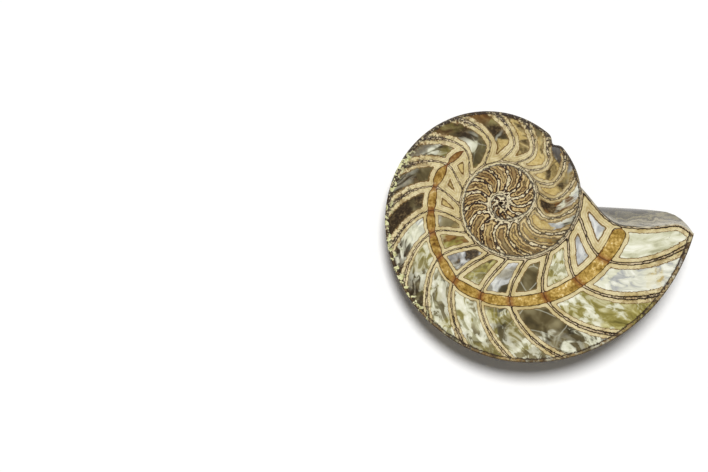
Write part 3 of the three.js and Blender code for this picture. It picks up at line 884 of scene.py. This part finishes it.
# Black and pale grains where it is crumbled, and yellow-green patches along the rim
def addGrains(tree, colour, marks, bySepta, noises):
    bySeptum = addNode(tree, "ShaderNodeMapRange", {}, {0: bySepta, **fromSecond(faceEdges["grainBySeptum"])})
    byRim = addNode(tree, "ShaderNodeMapRange", {},
                    {0: marks["walls"][1], **fromSecond(faceEdges["grainByRim"])})
    grainy = addNode(tree, "ShaderNodeMath", {"operation": "MAXIMUM"}, {0: bySeptum, 1: byRim})
    grainy = addNode(tree, "ShaderNodeMath", {"operation": "MULTIPLY"}, {0: grainy, 1: marks["wear"][0]})
    for kind in ("dark", "pale"):
        grain = addNode(tree, "ShaderNodeMath", {"operation": "MULTIPLY_ADD"},
                        {0: grainy, 1: faceEdges[kind + "More"], 2: noises["grit"]})
        shown = addNode(tree, "ShaderNodeMapRange", {}, {0: grain, **fromSecond(faceEdges[kind + "Shown"])})
        colour = addNode(tree, "ShaderNodeMix", {"data_type": "RGBA"},
                         {0: shown, 6: colour, 7: linear(faceEdges[kind + "Grain"])}).outputs[2]
    nearRim = addNode(tree, "ShaderNodeMapRange", {},
                      {0: marks["rim"][1], **fromSecond(faceEdges["patchReach"])})
    shown = addNode(tree, "ShaderNodeMapRange", {}, {0: noises["fold"], **fromSecond(faceEdges["patchShown"])})
    for limit in (nearRim, marks["rim"][2]):
        shown = addNode(tree, "ShaderNodeMath", {"operation": "MULTIPLY"}, {0: shown, 1: limit})
    patch = addNode(tree, "ShaderNodeValToRGB", {"stops": faceEdges["patch"]}, {0: noises["grit"]})
    return addNode(tree, "ShaderNodeMix", {"data_type": "RGBA"}, {0: shown, 6: colour, 7: patch}).outputs[2]


# The cut face: rings that follow the septa, walls and siphuncle, and crystals within them. The polish is the
# lowest and highest roughness.
def paintSection(tree, shader, polish):
    place = addNode(tree, "ShaderNodeTexCoord").outputs["Object"]
    mms = addNode(tree, "ShaderNodeVectorMath", {"operation": "SCALE"}, {0: place, "Scale": 1 / mm})
    marks = {}
    for name in cutMarks:
        mark = addNode(tree, "ShaderNodeAttribute", {"attribute_name": name}).outputs["Vector"]
        marks[name] = addNode(tree, "ShaderNodeSeparateXYZ", {}, {0: mark}).outputs
    noises = {}
    for name, (scale, detail, roughness) in section["noises"].items():
        noise = addNode(tree, "ShaderNodeTexNoise", {},
                        {"Vector": mms, "Scale": scale, "Detail": detail, "Roughness": roughness,
                         "Distortion": section["twist"]})
        noises[name] = noise.outputs["Fac"]
        if name == "cloud":
            cloud = noise.outputs["Color"]
    clouds = addNode(tree, "ShaderNodeSeparateColor", {}, {0: cloud}).outputs[:3]
    crumbled, early = marks["wear"][:2]

    bySepta = addNode(tree, "ShaderNodeMath", {"operation": "SMOOTH_MIN"},
                      {0: marks["rings"][0], 1: marks["rings"][1], 2: section["septaCorner"]})
    bend = addNode(tree, "ShaderNodeMapRange", {}, {0: noises["waver"], **fromSecond(section["bend"])})
    away = ringPlace(tree, marks, bySepta, bend, noises)
    share = addNode(tree, "ShaderNodeMath", {"operation": "DIVIDE"}, {0: away, 1: section["ringReach"]})
    late, earlier = (addNode(tree, "ShaderNodeValToRGB", {"stops": section[name]}, {0: share})
                     for name in ("rings", "earlyRings"))
    rings = addNode(tree, "ShaderNodeMix", {"data_type": "RGBA"}, {0: early, 6: late, 7: earlier}).outputs[2]
    stained = addNode(tree, "ShaderNodeMapRange", {}, {0: clouds[1], **fromSecond(section["stained"])})
    rings = addNode(tree, "ShaderNodeMix", {"data_type": "RGBA", "blend_type": "MULTIPLY"},
                    {0: stained, 6: rings, 7: linear(section["stain"])}).outputs[2]
    rusty = addNode(tree, "ShaderNodeMapRange", {}, {0: noises["fold"], **fromSecond(section["rusty"])})
    rusty = addNode(tree, "ShaderNodeMath", {"operation": "MULTIPLY", "use_clamp": True},
                    {0: rusty, 1: crumbled})
    rings = addNode(tree, "ShaderNodeMix", {"data_type": "RGBA", "blend_type": "MULTIPLY"},
                    {0: rusty, 6: rings, 7: linear(section["rust"])}).outputs[2]

    crystals = crystalColour(tree, mms, marks, noises, clouds)
    crystals = addCracks(tree, crystals, mms, marks, cloud)
    coreFrom = addNode(tree, "ShaderNodeMapRange", {}, {0: early, **fromSecond(section["coreFrom"])})
    coreTo = addNode(tree, "ShaderNodeMath", {"operation": "ADD"}, {0: coreFrom, 1: section["coreEdge"]})
    coreMost = addNode(tree, "ShaderNodeMapRange", {}, {0: early, **fromSecond(section["coreMost"])})
    core = addNode(tree, "ShaderNodeMapRange", {"interpolation_type": "SMOOTHSTEP"},
                   {0: away, 1: coreFrom, 2: coreTo, 4: coreMost})
    colour = addNode(tree, "ShaderNodeMix", {"data_type": "RGBA"},
                     {0: core, 6: rings, 7: crystals}).outputs[2]
    colour = addWall(tree, colour, marks, bend, noises, clouds[0])
    colour = addGrains(tree, colour, marks, bySepta, noises)
    tree.links.new(colour, shader.inputs["Base Color"])

    # fine pits where it is crumbled, and a polish that is a little uneven
    pits = addNode(tree, "ShaderNodeMath", {"operation": "MULTIPLY"}, {0: noises["grit"], 1: crumbled})
    bump = addNode(tree, "ShaderNodeBump", {},
                   {"Strength": section["pitStrength"], "Distance": section["pitHeight"] * mm,
                    "Height": pits})
    tree.links.new(bump.outputs[0], shader.inputs["Normal"])
    gloss = addNode(tree, "ShaderNodeMapRange", {},
                    {0: noises["grit"], **fromSecond(section["polished"] + polish)})
    tree.links.new(gloss.outputs[0], shader.inputs["Roughness"])


print("materials")
# polished calcite: clear to the eye a little way in, so soft clouds under a glassy face
calcite, tree, shader = newMaterial("polished calcite")
paintSection(tree, shader, (0.05, 0.1))
shader.inputs["IOR"].default_value = 1.49

# polished fossil nacre: the same face, a little duller
nacre, tree, shader = newMaterial("polished fossil nacre")
paintSection(tree, shader, (0.08, 0.14))
shader.inputs["IOR"].default_value = 1.53

# the outside, ground smooth: pale brown calcite with the sutures showing as thin brown lines
tumbled = {
    "marble": {"Scale": 0.08 / mm, "Detail": 5, "Distortion": 1.0},
    "marbled": [(0.28, "#4E3C28"), (0.42, "#84704E"), (0.52, "#A8956C"), (0.62, "#BDB084"), (0.75, "#DAD2B0")],
    "growth": {"Scale": 0.45, "Detail": 3},  # lines of the shell, about one in two degrees of the coil
    "growthShown": (0.35, 0.65, 0.0, 0.45),
    "growthColour": "#A08A66",
    "pits": {"Scale": 1.1 / mm, "Detail": 2, "Roughness": 0.6},
    "wander": (0.3, 0.7, -0.25, 0.25),  # how far pits move a suture's edge
    "sutureEdgeShown": (0.5, 1.3, 0.5, 0.0),  # a brown seam between two pale edges
    "sutureEdge": "#D0C294",
    "sutureShown": (0.25, 0.5, 0.9, 0.0),
    "suture": "#3A2A1C",
    "specksShown": (0.62, 0.72, 0.0, 0.6),
    "specks": "#4A3824",
    "pitStrength": 0.25,
    "pitHeight": 0.3,
    "gloss": (0.3, 0.7, 0.24, 0.38),
}
ground, tree, shader = newMaterial("tumbled brown calcite")
place = addNode(tree, "ShaderNodeTexCoord").outputs["Object"]
marble = addNode(tree, "ShaderNodeTexNoise", {}, {"Vector": place, **tumbled["marble"]}).outputs["Fac"]
marbled = addNode(tree, "ShaderNodeValToRGB", {"stops": tumbled["marbled"]}, {0: marble})
flank = addNode(tree, "ShaderNodeAttribute", {"attribute_name": "flank"}).outputs["Vector"]
onFlank = addNode(tree, "ShaderNodeSeparateXYZ", {}, {0: flank}).outputs
growthLines = addNode(tree, "ShaderNodeTexNoise", {"noise_dimensions": "1D"},
                      {"W": onFlank[1], **tumbled["growth"]})
growthShown = addNode(tree, "ShaderNodeMapRange", {},
                      {0: growthLines.outputs["Fac"], **fromSecond(tumbled["growthShown"])})
skin = addNode(tree, "ShaderNodeMix", {"data_type": "RGBA", "blend_type": "MULTIPLY"},
               {0: growthShown, 6: marbled,
                7: linear(tumbled["growthColour"])}).outputs[2]
pits = addNode(tree, "ShaderNodeTexNoise", {}, {"Vector": place, **tumbled["pits"]}).outputs["Fac"]
wander = addNode(tree, "ShaderNodeMapRange", {}, {0: pits, **fromSecond(tumbled["wander"])})
besideSuture = addNode(tree, "ShaderNodeMath", {"operation": "ADD"}, {0: onFlank[0], 1: wander})
for name, measure in (("sutureEdge", besideSuture), ("suture", besideSuture), ("specks", pits)):
    shown = addNode(tree, "ShaderNodeMapRange", {}, {0: measure, **fromSecond(tumbled[name + "Shown"])})
    skin = addNode(tree, "ShaderNodeMix", {"data_type": "RGBA"},
                   {0: shown, 6: skin, 7: linear(tumbled[name])}).outputs[2]
tree.links.new(skin, shader.inputs["Base Color"])
bump = addNode(tree, "ShaderNodeBump", {}, {"Strength": tumbled["pitStrength"],
                                            "Distance": tumbled["pitHeight"] * mm, "Height": pits})
tree.links.new(bump.outputs[0], shader.inputs["Normal"])
gloss = addNode(tree, "ShaderNodeMapRange", {}, {0: marble, **fromSecond(tumbled["gloss"])})
tree.links.new(gloss.outputs[0], shader.inputs["Roughness"])

# the last septum: grey mother-of-pearl turned to stone, satin, in bands that follow its edge, with light
# painted into them: paler near the cut edge as a painted highlight, darker deeper in the dish as painted shade
pearly = {
    "swirl": {"Scale": 0.05 / mm, "Detail": 4, "Distortion": 2.0},
    "swirlReach": 0.45,  # share of the way round the dish that the bands are swirled by
    # the nacre's own bands, with painted light: the pale stops near the cut edge are a painted highlight, and
    # the dark stops deeper in the dish are painted shade
    "bandsAndPaintedLight": [(0.17, "#3E3626"), (0.215, "#9A9072"), (0.25, "#B8AE90"), (0.29, "#6A6248"), (0.32, "#A89E80"),
              (0.36, "#463E2C"), (0.39, "#8C825E"), (0.43, "#423A28"), (0.48, "#6E6648"),
              (0.53, "#322A1C"), (0.6, "#544C34"), (0.8, "#3A3220")],
    "gloss": (0.3, 0.7, 0.2, 0.34),
    "waveStrength": 0.2,
    "waveHeight": 0.3,
}
pearl, tree, shader = newMaterial("grey fossil mother-of-pearl")
place = addNode(tree, "ShaderNodeTexCoord").outputs["Object"]
swirl = addNode(tree, "ShaderNodeTexNoise", {}, {"Vector": place, **pearly["swirl"]}).outputs["Fac"]
dishMark = addNode(tree, "ShaderNodeAttribute", {"attribute_name": "flank"}).outputs["Vector"]
roundDish = addNode(tree, "ShaderNodeSeparateXYZ", {}, {0: dishMark}).outputs[2]
swirled = addNode(tree, "ShaderNodeMath", {"operation": "MULTIPLY_ADD"},
                  {0: swirl, 1: pearly["swirlReach"], 2: roundDish})
# the dish's colour: real bands, with a painted highlight near the cut edge and painted shade further in
bandsAndPaintedLight = addNode(tree, "ShaderNodeValToRGB", {"stops": pearly["bandsAndPaintedLight"]}, {0: swirled})
tree.links.new(bandsAndPaintedLight.outputs[0], shader.inputs["Base Color"])
gloss = addNode(tree, "ShaderNodeMapRange", {}, {0: swirl, **fromSecond(pearly["gloss"])})
tree.links.new(gloss.outputs[0], shader.inputs["Roughness"])
bump = addNode(tree, "ShaderNodeBump", {}, {"Strength": pearly["waveStrength"],
                                            "Distance": pearly["waveHeight"] * mm, "Height": swirl})
tree.links.new(bump.outputs[0], shader.inputs["Normal"])

# the siphuncle: golden brown granular calcite
honey = {
    "grains": {"Scale": 0.9 / mm, "Detail": 2, "Roughness": 0.6},
    "drift": {"Scale": 0.26 / mm, "Detail": 3},
    "driftShare": 0.45,
    "tones": [(0.30, "#523914"), (0.41, "#886A28"), (0.50, "#AA8A42"), (0.58, "#C8A75C"), (0.67, "#EAD8A6")],
    "edgeShown": (0.15, 0.4, 0.92, 0.0),
    "edge": "#35230F",
    "neckShown": (0.4, 2.1, 0.7, 0.0),  # darker where it goes through a septum
    "neck": "#7E4420",
    "brownShown": (0, 1, 0.0, 1.0),
    "brown": "#6A3A18",
    "seamShown": (0.12, 0.35, 0.7, 0.0),
    "seam": "#3A2414",
    "grainStrength": 0.15,
    "grainHeight": 0.2,
    "gloss": (0.3, 0.7, 0.07, 0.13),
}
golden, tree, shader = newMaterial("honey calcite")
place = addNode(tree, "ShaderNodeTexCoord").outputs["Object"]
grains, drift = (addNode(tree, "ShaderNodeTexNoise", {}, {"Vector": place, **honey[name]}).outputs["Fac"]
                 for name in ("grains", "drift"))
grainy = addNode(tree, "ShaderNodeMix", {"data_type": "FLOAT"}, {0: honey["driftShare"], 2: grains, 3: drift})
skin = addNode(tree, "ShaderNodeValToRGB", {"stops": honey["tones"]}, {0: grainy}).outputs[0]
edge = addNode(tree, "ShaderNodeAttribute", {"attribute_name": "edge"}).outputs["Vector"]
fromEdge, fromSeptum, brownness = addNode(tree, "ShaderNodeSeparateXYZ", {}, {0: edge}).outputs
for name, measure in (("edge", fromEdge), ("neck", fromSeptum), ("brown", brownness), ("seam", fromSeptum)):
    shown = addNode(tree, "ShaderNodeMapRange", {}, {0: measure, **fromSecond(honey[name + "Shown"])})
    skin = addNode(tree, "ShaderNodeMix", {"data_type": "RGBA"},
                   {0: shown, 6: skin, 7: linear(honey[name])}).outputs[2]
tree.links.new(skin, shader.inputs["Base Color"])
bump = addNode(tree, "ShaderNodeBump", {}, {"Strength": honey["grainStrength"],
                                            "Distance": honey["grainHeight"] * mm, "Height": grains})
tree.links.new(bump.outputs[0], shader.inputs["Normal"])
gloss = addNode(tree, "ShaderNodeMapRange", {}, {0: drift, **fromSecond(honey["gloss"])})
tree.links.new(gloss.outputs[0], shader.inputs["Roughness"])

for piece in fills:
    piece.data.materials.append(calcite)
tube.data.materials.append(golden)
for material in (nacre, ground, pearl):
    shell.data.materials.append(material)
# by the points of each face: those of the dish, those of the cut face and below it, the others
perFace = readAll(shell.data.polygons, "loop_total", np.int32)
cornerNumbers = pointNumbers(shell.data)[readAll(shell.data.loops, "vertex_index", np.int32)]
firstCorners = np.concatenate([[0], np.cumsum(perFace)[:-1]])
across = cornerNumbers % loopCount
onTop = np.logical_and.reduceat((across < rowCount) | (across == loopCount - 1), firstCorners)
inDish = np.logical_or.reduceat(cornerNumbers >= len(columns) * loopCount, firstCorners)
shell.data.polygons.foreach_set("material_index", np.where(inDish, 2, np.where(onTop, 0, 1)).astype(np.int32))

print("floor and light")
studio = {
    "floorSize": 6,  # metres
    "floorColour": "#F4F4F4",
    "floorRoughness": 0.9,
    "keyStrength": 3.2,  # a high soft sun, tilted towards the picture's top
    "keyTilt": (-15.5, -5),
    "keySoftness": 13,
    "keyHeight": 2,
    "skyStrength": 0.15,
}
bpy.ops.object.select_all(action="DESELECT")
bpy.ops.mesh.primitive_plane_add(size=studio["floorSize"])
floor = bpy.context.object
floor.name = "floor"
# white board: dull, so that it shows nothing but the soft shadow
board, tree, shader = newMaterial("matt white board")
shader.inputs["Base Color"].default_value = linear(studio["floorColour"])
shader.inputs["Roughness"].default_value = studio["floorRoughness"]
floor.data.materials.append(board)

bpy.ops.object.light_add(type="SUN", location=(0, 0, studio["keyHeight"]))
key = bpy.context.object
key.data.energy = studio["keyStrength"]
key.data.angle = math.radians(studio["keySoftness"])
key.rotation_euler = [math.radians(tilt) for tilt in (*studio["keyTilt"], 0)]
sky = bpy.data.worlds.new("pale sky")
bpy.context.scene.world = sky
sky.use_nodes = True
sky.node_tree.nodes["Background"].inputs["Color"].default_value = (1, 1, 1, 1)
sky.node_tree.nodes["Background"].inputs["Strength"].default_value = studio["skyStrength"]
bpy.context.scene.view_settings.view_transform = "Standard"
